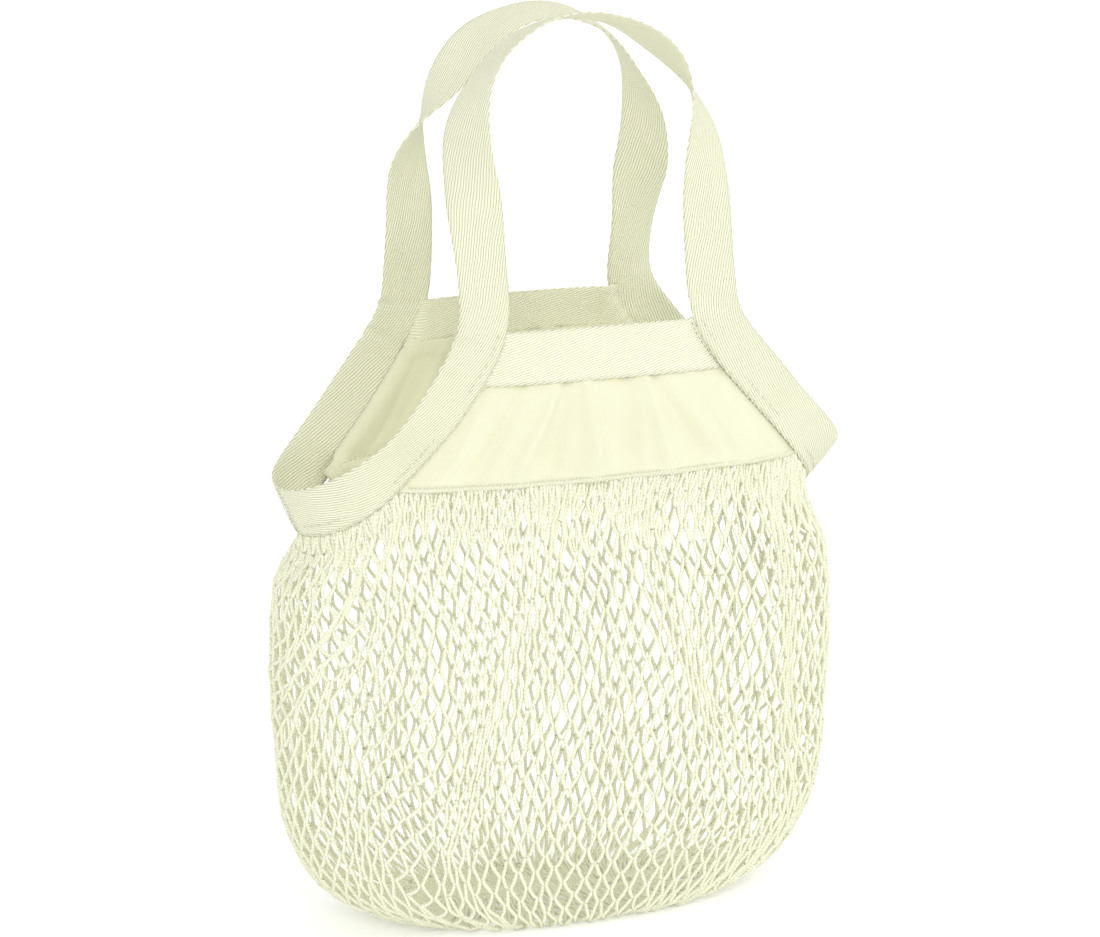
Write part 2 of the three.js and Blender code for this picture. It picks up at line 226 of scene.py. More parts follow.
def panel_row(name, depth, columns):
    """One level row of the panel between the two tapes, bulging a little in plan."""
    facing = HANDLES[name]["facing"]
    left = edge_at_depth(name, -1, depth)[0]
    right = edge_at_depth(name, 1, depth)[0]
    share = np.linspace(0, 1, columns + 1) if isinstance(columns, int) else (columns + 1) / 2
    across = 2 * share - 1
    edge_away = (abs(left[1]) + abs(right[1])) / 2
    away = max(RIM_Y + PANEL_LEAN * depth, edge_away)
    edge_y = mix(abs(left[1]), abs(right[1]), share)
    bulge = (away - edge_away) * (1 - np.abs(across) ** PANEL_POWER)
    x = (left[0] + right[0]) / 2 + (right[0] - left[0]) / 2 * across
    return np.stack([x, facing * (edge_y + bulge), np.full_like(x, -depth)], 1)


# Meshes
def make_object(name, points, faces, uvs=None, hang=True):
    """An object from points in metres, faces as lists of indices, and a UV pair for each corner."""
    mesh = bpy.data.meshes.new(name)
    shift = HANG if hang else np.zeros(3)
    mesh.from_pydata((np.asarray(points) + shift).tolist(), [], faces)
    if uvs is not None:
        layer = mesh.uv_layers.new(name="UVMap")
        layer.data.foreach_set("uv", np.asarray(uvs, float).ravel())
    mesh.update()
    mesh.polygons.foreach_set("use_smooth", [True] * len(mesh.polygons))
    obj = bpy.data.objects.new(name, mesh)
    bpy.context.scene.collection.objects.link(obj)
    return obj


def grid_normals(grid):
    along = np.gradient(grid, axis=0)
    side = np.gradient(grid, axis=1)
    return unit(np.cross(side, along))


def cloth_from_grid(name, grid, uv, thickness, thin_edge=0.35):
    """A closed sheet from a grid of points, thinner along its two long edges, with UVs in metres."""
    rows, columns = grid.shape[:2]
    normal = grid_normals(grid)
    half = np.full((rows, columns), thickness / 2)
    half[:, 0] *= thin_edge
    half[:, -1] *= thin_edge
    faces_out = grid + normal * half[..., None]
    faces_in = grid - normal * half[..., None]
    points = np.concatenate([faces_out.reshape(-1, 3), faces_in.reshape(-1, 3)])
    index = np.arange(rows * columns).reshape(rows, columns)
    a, b = index[:-1, :-1].ravel(), index[:-1, 1:].ravel()
    c, d = index[1:, 1:].ravel(), index[1:, :-1].ravel()
    n = rows * columns
    front = np.stack([a, b, c, d], 1)
    back = np.stack([a, d, c, b], 1) + n
    border = np.concatenate([index[0, :-1], index[:-1, -1], index[-1, :0:-1], index[:0:-1, 0]])
    after = np.roll(border, -1)
    rim = np.stack([after, border, border + n, after + n], 1)
    faces = np.concatenate([front, back, rim])
    flat = np.asarray(uv).reshape(-1, 2)
    flat = np.concatenate([flat, flat])
    return make_object(name, points, faces.tolist(), flat[faces].reshape(-1, 2))


def run_along(points):
    steps = np.linalg.norm(np.diff(points, axis=0), axis=1)
    return np.concatenate([[0], np.cumsum(steps)])


# Where the tape turns from leg to diagonal: heights from the rim, and how far the turn reaches
SOFT_TURN = dict(at=-0.004, reach=0.030, passes=40)
RIPPLED_TURN = dict(at=-0.012, reach=0.020)
RIGHT_RIPPLE = 0.25        # the right side ripples less than the left by this factor
RIPPLES = (
    dict(length=0.0105, start=1.3, height=0.0009),
    dict(length=0.0170, start=2.1, height=0.0006),
)
SLACK_WAVE = dict(length=0.061, height=0.0006)
END_CLEARANCE = 0.0001     # between a tape's cut end and the middle of the side seam

# The back handle's left leg swings back and then forward as it turns over. Places are shares of
# the handle's rise, and the whole top leans forward too
SWING_BACK = dict(by=0.0035, at=0.48, width=0.12)
SWING_FORWARD = dict(by=0.0090, at=0.80, width=0.13)
TOP_FORWARD = 0.0028
SWING_BLEND = 8            # fine steps of the tape on each side of the arch's middle


def tape_grid(name):
    """The tape's middle surface, finely stepped, with the small puckers at its bends."""
    middle, across = TAPES[name]
    facing = HANDLES[name]["facing"]
    middle, across = refine(middle, 3), unit(refine(across, 3))
    ahead, across = square_up(middle, across)
    out = unit(np.cross(ahead, across))
    run = run_along(middle)
    side = np.linspace(-1, 1, 15)
    grid = middle[:, None] + across[:, None] * (side * HALF_TAPE)[None, :, None]

    # The tape turns from leg to diagonal in a soft curve, and its outer edge ripples there
    half = (len(middle) - 1) // 2
    height = middle[:, 2]
    turning = np.exp(-(((height - SOFT_TURN["at"]) / SOFT_TURN["reach"]) ** 4))[1:-1, None, None]
    for _ in range(SOFT_TURN["passes"]):
        grid[1:-1] += 0.25 * turning * (grid[:-2] - 2 * grid[1:-1] + grid[2:])
    for hand in (-1, 1):
        own = (np.arange(len(middle)) > half) == (hand > 0)
        bend = np.exp(-(((height - RIPPLED_TURN["at"]) / RIPPLED_TURN["reach"]) ** 2)) * own
        bend = bend * (1.0 if hand < 0 else RIGHT_RIPPLE)
        ripple = 0
        for wave in RIPPLES:
            phase = run / wave["length"] * 2 * np.pi + wave["start"] * hand
            ripple = ripple + np.sin(phase) * wave["height"] * bend
        grid += out[:, None] * (ripple[:, None] * smooth(side, -0.4, 1.0)[None])[..., None]

    if name == "back":
        share = height / HANDLE_RISE
        back, forward = (
            move["by"] * np.exp(-(((share - move["at"]) / move["width"]) ** 2))
            for move in (SWING_BACK, SWING_FORWARD)
        )
        left = smooth(np.arange(len(middle)), half + SWING_BLEND, half - SWING_BLEND)
        grid[..., 1] += ((back - forward) * left - TOP_FORWARD * smooth(share, 0.75, 1.0))[:, None]

    # Slow waves of slack webbing, and the cut ends kept off the other tape
    wave = SLACK_WAVE["height"] * np.sin(run / SLACK_WAVE["length"] * 2 * np.pi + facing)
    grid += out[:, None] * (wave[:, None] * np.sin(side * 1.8 + facing)[None])[..., None]
    grid[..., 1] = facing * np.maximum(facing * grid[..., 1], END_CLEARANCE)
    uv = np.stack(np.broadcast_arrays(run[:, None], (side * HALF_TAPE)[None, :]), -1)
    if facing < 0:
        return grid[:, ::-1], uv[:, ::-1]
    return grid, uv


def panel_grid(name, depths, columns, tuck, lap_top=0.0, wrinkles=None):
    """A sewn panel's middle surface. Its sides go on behind the tapes, deeper by tuck."""
    facing = HANDLES[name]["facing"]
    across = np.linspace(-1, 1, columns + 1)
    depths = np.asarray(depths)
    rows, uvs = [], []
    for depth in depths:
        row = panel_row(name, depth, across)
        tapes = [edge_at_depth(name, hand, depth) for hand in (-1, 1)]
        for edge, _, out in tapes:
            near = np.exp(-(np.abs(row[:, 0] - edge[0]) / TUCK_REACH) ** 2)
            row += out * (-tuck * near)[:, None]
        left, right = tapes[0][1] * SEAM_ALLOWANCE, tapes[1][1] * SEAM_ALLOWANCE
        sides = [row[0] + left, row[0] + left / 2, row[-1] + right / 2, row[-1] + right]
        row = np.concatenate([sides[:2], row, sides[2:]])
        rows.append(row)
        uvs.append(np.stack([row[:, 0], np.full(len(row), -depth)], 1))
    grid = np.array(rows)
    if wrinkles is not None:
        share = np.concatenate([[-1, -1], across, [1, 1]])
        grid[..., 1] += facing * wrinkles(share[None, :], depths[:, None])
    if lap_top:
        top = smooth(depths, depths[0] + 0.012, depths[0] + 0.005)
        grid[..., 1] -= facing * lap_top * top[:, None]
    # Cloth below the line where the net is sewn on hangs free inside the bag
    if depths[-1] > YOKE_DROP + FLAP_START:
        free = smooth(depths, YOKE_DROP - FLAP_START, YOKE_DROP + FLAP_START)
        grid[..., 1] -= facing * FLAP_DEPTH * free[:, None]
    uv = np.array(uvs)
    if facing < 0:
        return grid[:, ::-1], uv[:, ::-1]
    return grid, uv


# Soft upright wrinkles of a yoke, deepest near its gathered lower edge
YOKE_WRINKLES = {
    "at": (-0.86, -0.70, -0.50, -0.34, -0.10, 0.10, 0.30, 0.50, 0.72, 0.88),
    "width": (0.035, 0.05, 0.045, 0.06, 0.05, 0.06, 0.045, 0.06, 0.04, 0.03),
    "depth": (0.0036, -0.0050, 0.0045, -0.0048, 0.0053, -0.0045, 0.0039, -0.0045, 0.0031, -0.0022),
}


def yoke_wrinkles(share, depth):
    down = smooth(depth, 0.026, YOKE_DROP - 0.012)
    push = 0
    for at, width, deep in zip(*YOKE_WRINKLES.values()):
        lean = 0.09 * math.sin(9 * at)
        push = push + deep * np.exp(-(((share - at - lean * (1 - down)) / width) ** 2))
    fine = np.sin(share * 67 + 2 * np.sin(share * 9)) * 0.5 + np.sin(share * 41 + 1) * 0.5
    push = push + fine * 0.0008 * smooth(depth, YOKE_DROP - 0.020, YOKE_DROP)
    # The wrinkles fade beside the tapes, under the band and near the stitched lower edge
    hem = 1 - 0.75 * smooth(depth, YOKE_DROP - 0.016, YOKE_DROP)
    return push * (0.30 + 0.70 * down) * (1 - share**4) * hem


# Materials
def new_material(name):
    mat = bpy.data.materials.new(name)
    mat.use_nodes = True
    nodes, links = mat.node_tree.nodes, mat.node_tree.links
    return mat, nodes, links, nodes["Principled BSDF"]


def add_node(nodes, kind, **values):
    node = nodes.new(kind)
    for key, value in values.items():
        setattr(node, key, value)
    return node


def math_node(nodes, links, operation, a, b=None):
    node = add_node(nodes, "ShaderNodeMath", operation=operation)
    for socket, value in zip(node.inputs, (a, b)):
        if value is None:
            continue
        if isinstance(value, (int, float)):
            socket.default_value = value
        else:
            links.new(value, socket)
    return node.outputs[0]


def sums(nodes, links):
    """A short name for math_node in one material."""
    return lambda operation, a, b=None: math_node(nodes, links, operation, a, b)


def relief(nodes, links, bsdf, height, strength, distance):
    bump = add_node(nodes, "ShaderNodeBump")
    bump.inputs["Strength"].default_value = strength
    bump.inputs["Distance"].default_value = distance
    links.new(height, bump.inputs["Height"])
    links.new(bump.outputs["Normal"], bsdf.inputs["Normal"])


def cotton(bsdf, roughness=0.92):
    bsdf.inputs["Roughness"].default_value = roughness
    bsdf.inputs["Specular IOR Level"].default_value = 0.2
    bsdf.inputs["Sheen Weight"].default_value = 0.12
    bsdf.inputs["Sheen Roughness"].default_value = 0.5
    bsdf.inputs["Sheen Tint"].default_value = (1.0, 0.99, 0.92, 1.0)


def colour_ramp(nodes, links, factor, low, high):
    ramp = add_node(nodes, "ShaderNodeValToRGB")
    ramp.color_ramp.elements[0].color = (*low, 1)
    ramp.color_ramp.elements[1].color = (*high, 1)
    links.new(factor, ramp.inputs["Fac"])
    return ramp.outputs["Color"]


def weave_inputs(nodes, links):
    uv = add_node(nodes, "ShaderNodeUVMap", uv_map="UVMap")
    split = add_node(nodes, "ShaderNodeSeparateXYZ")
    links.new(uv.outputs["UV"], split.inputs["Vector"])
    return uv.outputs["UV"], split.outputs["X"], split.outputs["Y"]


def noise(nodes, links, vector, scale, detail=2.0):
    node = add_node(nodes, "ShaderNodeTexNoise")
    node.inputs["Scale"].default_value = scale
    node.inputs["Detail"].default_value = detail
    links.new(vector, node.inputs["Vector"])
    return node.outputs["Fac"]


FLOAT_PITCH = 0.00118      # between the small weft floats along a rib of the twill
WEAVE_PITCH = 0.0009       # of the yokes' plain weave
LOOP_PITCH = 0.0021        # of the loops along a knitted cord


def twill_material(name, angle, pitch, low, high):
    """Steep twill: ribs at a small angle to the tape's length, each made of short weft floats, with
    painted shade in the grooves.
    """
    mat, nodes, links, bsdf = new_material(name)
    cotton(bsdf)
    uv, u, v = weave_inputs(nodes, links)
    m = sums(nodes, links)
    wobble = m("MULTIPLY", noise(nodes, links, uv, 55.0), 0.0022)
    across = m("ADD", m("MULTIPLY", v, math.cos(angle)), m("MULTIPLY", u, math.sin(angle)))
    across = m("ADD", across, wobble)
    phase = m("MULTIPLY", across, 2 * math.pi / pitch)
    rib = m("ABSOLUTE", m("SINE", m("MULTIPLY", phase, 0.5)))
    rib = m("POWER", rib, 0.55)
    # Weft threads cross the ribs as small bumps, and as dark dots of painted shade in the grooves
    float_run = m("ADD", m("MULTIPLY", u, 2 * math.pi / FLOAT_PITCH), m("MULTIPLY", phase, 0.5))
    floats = m("ADD", m("MULTIPLY", m("SINE", float_run), 0.5), 0.5)
    fuzz = noise(nodes, links, uv, 1900.0, 3.0)
    height = m("ADD", m("MULTIPLY", rib, 0.8), m("MULTIPLY", floats, 0.30))
    height = m("ADD", height, m("MULTIPLY", fuzz, 0.40))
    relief(nodes, links, bsdf, height, 0.9, 0.00045)
    patch = noise(nodes, links, uv, 24.0, 4.0)
    # Painted shade: the grooves between the ribs are darkened, most of all at the weft floats
    painted_groove_shade = m("MULTIPLY", m("SUBTRACT", 1.0, rib), m("ADD", m("MULTIPLY", floats, 1.10), 0.40))
    shade = m("SUBTRACT", m("ADD", m("MULTIPLY", patch, 0.20), 0.86), painted_groove_shade)
    links.new(colour_ramp(nodes, links, shade, low, high), bsdf.inputs["Base Color"])
    return mat


def plain_material(name, low, high):
    """Plain weave: fine warp and weft threads with slubs, barely seen from afar."""
    mat, nodes, links, bsdf = new_material(name)
    cotton(bsdf, 0.95)
    uv, u, v = weave_inputs(nodes, links)
    m = sums(nodes, links)
    wobble = m("MULTIPLY", noise(nodes, links, uv, 90.0), 0.0012)
    warp = m("SINE", m("MULTIPLY", m("ADD", u, wobble), 2 * math.pi / WEAVE_PITCH))
    weft = m("SINE", m("MULTIPLY", m("ADD", v, wobble), 2 * math.pi / WEAVE_PITCH))
    weave = m("ADD", m("MULTIPLY", m("MULTIPLY", warp, weft), 0.5), 0.5)
    slub = noise(nodes, links, uv, 420.0, 3.0)
    height = m("ADD", weave, m("MULTIPLY", slub, 0.8))
    relief(nodes, links, bsdf, height, 0.7, 0.00012)
    patch = noise(nodes, links, uv, 30.0, 4.0)
    # Painted shade where the threads dip under each other, mixed with random patches of tone
    shade = m("ADD", m("MULTIPLY", weave, 0.3), m("MULTIPLY", patch, 0.7))
    links.new(colour_ramp(nodes, links, shade, low, high), bsdf.inputs["Base Color"])
    return mat


def cord_material(name, low, high):
    """Chain-knitted net cord: slanted loops that meet along each cord like a plait."""
    mat, nodes, links, bsdf = new_material(name)
    cotton(bsdf, 0.95)
    uv, u, v = weave_inputs(nodes, links)
    m = sums(nodes, links)
    round_it = m("ABSOLUTE", m("SINE", m("MULTIPLY", v, 2 * math.pi)))
    slant = m("ADD", m("MULTIPLY", u, 2 * math.pi / LOOP_PITCH), m("MULTIPLY", round_it, 2.2))
    loops = m("ADD", m("MULTIPLY", m("SINE", slant), 0.5), 0.5)
    fuzz = noise(nodes, links, uv, 900.0, 3.0)
    height = m("ADD", loops, m("MULTIPLY", fuzz, 0.5))
    relief(nodes, links, bsdf, height, 0.85, 0.0004)
    patch = noise(nodes, links, uv, 40.0, 2.0)
    # Painted shade between the slanted loops, mixed with random patches of tone
    shade = m("ADD", m("MULTIPLY", loops, 0.55), m("MULTIPLY", patch, 0.45))
    links.new(colour_ramp(nodes, links, shade, low, high), bsdf.inputs["Base Color"])
    return mat


# Each with a darker colour, for the painted shade of its hollows and its darker patches, and the
# colour of its high threads; the twills also with the angle and the pitch of their ribs
webbing = twill_material(
    "webbing", math.radians(14.5), 0.00152, (0.48, 0.50, 0.28), (0.885, 0.876, 0.693))
band_webbing = twill_material(
    "band_webbing", math.radians(-17), 0.00136, (0.66, 0.67, 0.44), (0.915, 0.905, 0.72))
yoke_cotton = plain_material("yoke_cotton", (0.73, 0.73, 0.53), (0.812, 0.803, 0.615))
net_cotton = cord_material("net_cotton", (0.86, 0.868, 0.63), (0.995, 0.988, 0.83))
# Painted shade: the dark colour of the threads that stand for the shadow in the seams
painted_seam_shadow = cord_material("painted_seam_shadow", (0.24, 0.25, 0.16), (0.40, 0.41, 0.28))
thread = cord_material("sewing_thread", (0.86, 0.85, 0.66), (0.95, 0.94, 0.79))


def dress(obj, material):
    obj.data.materials.append(material)
    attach(obj, "root")


# Camera, set to the photograph's angle: 25 degrees round to the left and 12 above
AZIMUTH, ELEVATION = math.radians(-25.0), math.radians(12.2)
TARGET = np.array([-0.005, 0.0, -0.2522])
CAMERA_DISTANCE = 2.530
FOCAL_PIXELS = 4575.0
PHOTO_WIDTH_PIXELS = 1100.0
SENSOR_MM = 36.0
level = math.cos(ELEVATION)
look = np.array([-math.sin(AZIMUTH) * level, math.cos(AZIMUTH) * level, -math.sin(ELEVATION)])
camera_data = bpy.data.cameras.new("camera")
camera_data.sensor_width = SENSOR_MM
camera_data.lens = FOCAL_PIXELS * SENSOR_MM / PHOTO_WIDTH_PIXELS
camera_data.clip_end = 50.0
camera = bpy.data.objects.new("camera", camera_data)
camera.location = TARGET - look * CAMERA_DISTANCE
camera.rotation_euler = Vector(look).to_track_quat("-Z", "Y").to_euler()
bpy.context.scene.collection.objects.link(camera)
bpy.context.scene.camera = camera

# The woven pieces. Band and yoke lie behind the tapes, and the yoke's top behind the band
BAND_TUCK = 0.0016
YOKE_TUCK = 0.0013
YOKE_LAP = 0.006           # how far a yoke goes up behind its band

tape_faces = {}
for name in HANDLES:
    grid, uv = tape_grid(name)
    tape_faces[name] = (grid, grid_normals(grid))
    tape = cloth_from_grid(f"{name}_handle_tape", grid, uv, WEBBING_THICKNESS)
    dress(tape, webbing)
    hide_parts(f"{name}_handle")

    band_start = -HANDLES[name]["rim_lift"]
    band_end = band_start + BAND_HEIGHT
    depths = np.linspace(band_start, band_end, 13)
    grid, uv = panel_grid(name, depths, 60, BAND_TUCK)
    band = cloth_from_grid(f"{name}_rim_webbing", grid, uv, WEBBING_THICKNESS)
    dress(band, band_webbing)
    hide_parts(f"{name}_rim_band")

    depths = np.linspace(band_end - YOKE_LAP, YOKE_ENDS[name], 36)
    grid, uv = panel_grid(name, depths, 110, YOKE_TUCK, YOKE_TUCK, yoke_wrinkles)
    yoke = cloth_from_grid(f"{name}_yoke_cloth", grid, uv, YOKE_THICKNESS)
    dress(yoke, yoke_cotton)
    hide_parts(f"{name}_yoke")

# The net
NET_COLUMNS = 84
NET_ROWS = 32              # half rows, so each mesh of the net takes two
BAR = 0.0115               # length of one side of a mesh
CORD = 0.0021              # thickness of the net's cord
TOP_BLEND = 0.16           # share of the drop over which the net goes from its seam to its own plan
HEADING_CORDS = 2          # gathered cords for every main cord, in the heading
HEADING_SHARE = 0.80       # thickness of such a cord, as a share of the main cord's
RELAX_STEPS = 420
CROWD_EVERY = 6            # steps of sliding between two pulls back towards the crowds
CROWD_PULL = 0.12
TAUT, SLACK = 0.5, 0.06    # share of its error that a bar takes back when too long, or too short

# Sections of the net from its seam to its floor, as shares of its drop, half width and half
# depth, with the power of the superellipse
NET_SECTIONS = {
    "drop": (0.0, 0.10, 0.22, 0.36, 0.52, 0.66, 0.77, 0.86, 0.93, 0.98, 1.0, 1.0),
    "width": (0.930, 0.965, 0.990, 1.000, 0.992, 0.978, 0.950, 0.895, 0.810, 0.690, 0.560, 0.520),
    "depth": (0.80, 0.87, 0.94, 0.99, 1.00, 1.00, 0.98, 0.94, 0.87, 0.79, 0.68, 0.02),
    "power": (2.6, 2.5, 2.4, 2.3, 2.2, 2.2, 2.2, 2.2, 2.2, 2.2, 2.2, 2.0),
}

# Folds of the slack net. Each runs from one place to another: round the bag and down its side
NET_FOLDS = (
    dict(top=0.955, foot=0.880, width=0.022, depth=0.006, start=0.02, end=0.72),
    dict(top=0.030, foot=0.090, width=0.020, depth=0.005, start=0.05, end=0.62),
    dict(top=0.810, foot=0.815, width=0.020, depth=0.007, start=0.02, end=0.70),
    dict(top=0.160, foot=0.165, width=0.018, depth=0.006, start=0.00, end=0.70),
    dict(top=0.445, foot=0.420, width=0.022, depth=0.003, start=0.05, end=0.70),
    dict(top=0.560, foot=0.600, width=0.022, depth=0.003, start=0.05, end=0.75),
)

# Where the meshes crowd together, or are pulled apart where gain is negative: the middle of each
# such place goes from (turn_a, down_a) to (turn_b, down_b)
NET_CROWDS = (
    dict(turn_a=0.955, down_a=0.02, turn_b=0.872, down_b=0.62, width=0.020, gain=0.62),
    dict(turn_a=0.030, down_a=0.06, turn_b=0.094, down_b=0.48, width=0.014, gain=0.60),
    dict(turn_a=0.775, down_a=0.20, turn_b=0.819, down_b=0.66, width=0.013, gain=0.7),
    dict(turn_a=0.160, down_a=0.02, turn_b=0.165, down_b=0.50, width=0.012, gain=0.6),
    dict(turn_a=0.815, down_a=-0.10, turn_b=0.825, down_b=0.18, width=0.035, gain=0.40),
    dict(turn_a=0.846, down_a=0.38, turn_b=0.846, down_b=0.68, width=0.028, gain=-0.56, ease=0.24),
    dict(turn_a=0.120, down_a=0.10, turn_b=0.130, down_b=0.45, width=0.020, gain=-0.35),
    dict(turn_a=0.000, down_a=0.72, turn_b=0.000, down_b=0.99, width=0.120, gain=-0.36, ease=0.40),
    dict(turn_a=0.745, down_a=0.32, turn_b=0.755, down_b=0.85, width=0.035, gain=-0.25, ease=0.30),
    dict(turn_a=0.445, down_a=0.02, turn_b=0.400, down_b=0.60, width=0.020, gain=0.25),
    dict(turn_a=0.560, down_a=0.02, turn_b=0.610, down_b=0.60, width=0.020, gain=0.25),
    dict(turn_a=0.205, down_a=0.16, turn_b=0.205, down_b=0.80, width=0.024, gain=-0.40),
    dict(turn_a=0.680, down_a=0.10, turn_b=0.670, down_b=0.55, width=0.020, gain=0.4),
    dict(turn_a=0.315, down_a=0.10, turn_b=0.330, down_b=0.55, width=0.020, gain=0.4),
)


def net_top(name, hand):
    """The net's top edge in one quarter: the yoke's lower edge, then the tape's edge to the seam."""
    row = panel_row(name, YOKE_DROP, 40)
    half = row[20:] if hand > 0 else row[20::-1]
    edge = EDGES[(name, hand)][0]
    path = np.concatenate([half, edge[edge[:, 2] < -YOKE_DROP]])
    path[-1, 1] = 0
    return path


def along_path(path, share):
    run = run_along(path)
    return np.stack([np.interp(share * run[-1], run, path[:, k]) for k in range(3)], -1)


def net_surface(turns, downs):
    """A table of points: place round the bag from the middle of its front, by way down its side."""
    quarter = np.minimum((turns * 4).astype(int), 3)
    inside = turns * 4 - quarter
    share = np.where(quarter % 2 == 0, inside, 1 - inside)
    signs = np.array([[1, -1], [1, 1], [-1, 1], [-1, -1]])[quarter]
    tops = [net_top("front", 1), net_top("back", 1), net_top("back", -1), net_top("front", -1)]
    top = np.array([along_path(tops[q], s) for q, s in zip(quarter, share)])
    table = np.array([NET_SECTIONS[key] for key in ("drop", "width", "depth", "power")]).T
    fine = refine(table, 12)
    fine[:, 0] = np.clip(fine[:, 0], 0, 1)
    rings, drops = [], []
    for drop, width, depth, power in fine:
        x, y = QuarterPlan(NET_HALF_WIDTH * width, NET_HALF_DEPTH * depth, max(power, 1.6)).at(share)
        blend = float(smooth(drop, 0, TOP_BLEND))
        z = mix(top[:, 2] - 0.001, -FLOOR_DROP + CORD / 2, drop)
        own = np.stack([signs[:, 0] * x, signs[:, 1] * y], 1)
        flat = mix(top[:, :2], own, blend)
        inward = 0
        for fold in NET_FOLDS:
            at = mix(fold["top"], fold["foot"], smooth(drop, fold["start"], fold["end"]))
            away = (turns - at + 0.5) % 1 - 0.5
            fade = smooth(drop, fold["start"], fold["start"] + 0.15)
            fade = fade * smooth(drop, fold["end"] + 0.12, fold["end"] - 0.12)
            inward = inward + fold["depth"] * np.exp(-((away / fold["width"]) ** 2)) * fade
        flat = flat - unit(flat) * np.broadcast_to(inward, len(turns))[:, None]
        rings.append(np.concatenate([flat, z[:, None]], 1))
        drops.append(drop)
    rings = np.array(rings)
    run = np.concatenate([[0], np.cumsum(np.linalg.norm(np.diff(rings, axis=0), axis=2).mean(1))])
    share_down = run / run[-1]
    table = np.empty((len(downs), len(turns), 3))
    for k in range(3):
        for column in range(len(turns)):
            table[:, column, k] = np.interp(downs, share_down, rings[:, column, k])
    return table


TURNS = np.arange(720) / 720
DOWNS = np.linspace(0, 1, 181)
surface = net_surface(TURNS, DOWNS)
slope_u = (np.roll(surface, -1, 1) - np.roll(surface, 1, 1)) * len(TURNS) / 2
slope_v = np.gradient(surface, axis=0) * (len(DOWNS) - 1)


def read_table(table, u, v):
    """Bilinear value of a table at places round the bag and down its side."""
    x = (u % 1) * len(TURNS)
    y = np.clip(v, 0, 1) * (len(DOWNS) - 1)
    i, j = np.floor(x).astype(int), np.minimum(np.floor(y).astype(int), len(DOWNS) - 2)
    a, b = (x - i)[..., None], (y - j)[..., None]
    i, i2 = i % len(TURNS), (i + 1) % len(TURNS)
    low = table[j, i] * (1 - a) + table[j, i2] * a
    high = table[j + 1, i] * (1 - a) + table[j + 1, i2] * a
    return low * (1 - b) + high * b


def crowded_turns(columns, down):
    """Places round the bag for columns of meshes at one level, closer together in the crowds."""
    turns = np.linspace(0, 1, 1441)
    crowding = np.ones_like(turns)
    for crowd in NET_CROWDS:
        share = np.clip((down - crowd["down_a"]) / (crowd["down_b"] - crowd["down_a"]), 0, 1)
        at = mix(crowd["turn_a"], crowd["turn_b"], share)
        fade = smooth(down, crowd["down_a"] - crowd.get("ease", 0.10), crowd["down_a"] + 0.04)
        fade = fade * smooth(down, crowd["down_b"] + 0.18, crowd["down_b"] - 0.04)
        away = (turns - at + 0.5) % 1 - 0.5
        crowding += crowd["gain"] * fade * np.exp(-((away / crowd["width"]) ** 2))
    crowding += 0.10 * np.sin(turns * 2 * np.pi * 17 + 3 * down) * smooth(down, 0, 0.1)
    total = np.concatenate([[0], np.cumsum((crowding[1:] + crowding[:-1]) / 2)])
    return np.interp(columns % 1, total / total[-1], turns) + np.floor(columns)


def other_end(table, step, odd):
    """For every knot but the lowest row's, its neighbour below, on the side named by step."""
    straight = table[1:]
    sideways = np.where(odd, np.roll(straight, -1, 1), np.roll(straight, 1, 1))
    return np.where((odd == (step > 0)), sideways, straight)


def relax_net():
    """Slides every knot on the net's surface until hardly any bar is longer than its cord."""
    rows = np.arange(NET_ROWS + 1)
    columns = (np.arange(NET_COLUMNS)[None, :] + (rows % 2)[:, None] / 2) / NET_COLUMNS
    v = np.repeat((rows / NET_ROWS)[:, None], NET_COLUMNS, 1)
    u = np.array([crowded_turns(c, row / NET_ROWS) for c, row in zip(columns, rows)])
    odd = np.broadcast_to((rows % 2 == 1)[:-1, None, None], (NET_ROWS, NET_COLUMNS, 1))
    for step in range(RELAX_STEPS):
        point = read_table(surface, u, v)
        pull = np.zeros_like(point)
        for hand in (-1, 1):
            # Even rows hang from the knots to their left and right, odd rows the other way round
            gap = other_end(point, hand, odd) - point[:-1]
            length = np.linalg.norm(gap, axis=-1, keepdims=True)
            error = length - BAR
            move = gap / length * error * np.where(error > 0, TAUT, SLACK)
            pull[:-1] += move
            moved = np.where(odd == (hand > 0), 0, -move)
            pull[1:] += moved
            crossed = np.where(odd == (hand > 0), -move, 0)
            pull[1:] += np.where(odd, np.roll(crossed, 1, 1), np.roll(crossed, -1, 1))
        pull *= 0.5
        pu, pv = read_table(slope_u, u, v), read_table(slope_v, u, v)
        uu, vv, uv = (pu * pu).sum(-1), (pv * pv).sum(-1), (pu * pv).sum(-1)
        cu, cv = (pu * pull).sum(-1), (pv * pull).sum(-1)
        det = np.maximum(uu * vv - uv * uv, 1e-10)
        du = np.clip((vv * cu - uv * cv) / det, -0.004, 0.004)
        dv = np.clip((uu * cv - uv * cu) / det, -0.004, 0.004)
        u[1:] += du[1:]
        v[1:-1] += dv[1:-1]
        v[1:-1] = np.clip(v[1:-1], 0.002, 0.998)
        if step % CROWD_EVERY == 0:
            wished = np.array([crowded_turns(c, down) for c, down in zip(columns, v.mean(1))])
            u[1:] += CROWD_PULL * (wished - u)[1:]
    return u, v


def net_chains():
    """The knots that each cord passes, from the top down, with the side of the knot it keeps to."""
    chains = []
    for column in range(NET_COLUMNS):
        for hand in (1, -1):
            knots, sides = [], []
            for row in range(NET_ROWS + 1):
                if row % 2 == 0:
                    knots.append((row, column))
                    sides.append(hand)
                else:
                    knots.append((row, column if hand > 0 else (column - 1) % NET_COLUMNS))
                    sides.append(-hand)
            chains.append((knots, sides))
    return chains


knot_u, knot_v = relax_net()
rng = np.random.default_rng(7)
knots = read_table(surface, knot_u, knot_v)
along_u = unit(read_table(slope_u, knot_u, knot_v))
along_v = unit(read_table(slope_v, knot_u, knot_v))
outward = unit(np.cross(along_v, along_u))
outward *= np.sign((outward[..., :2] * knots[..., :2]).sum(-1, keepdims=True) + 1e-9)

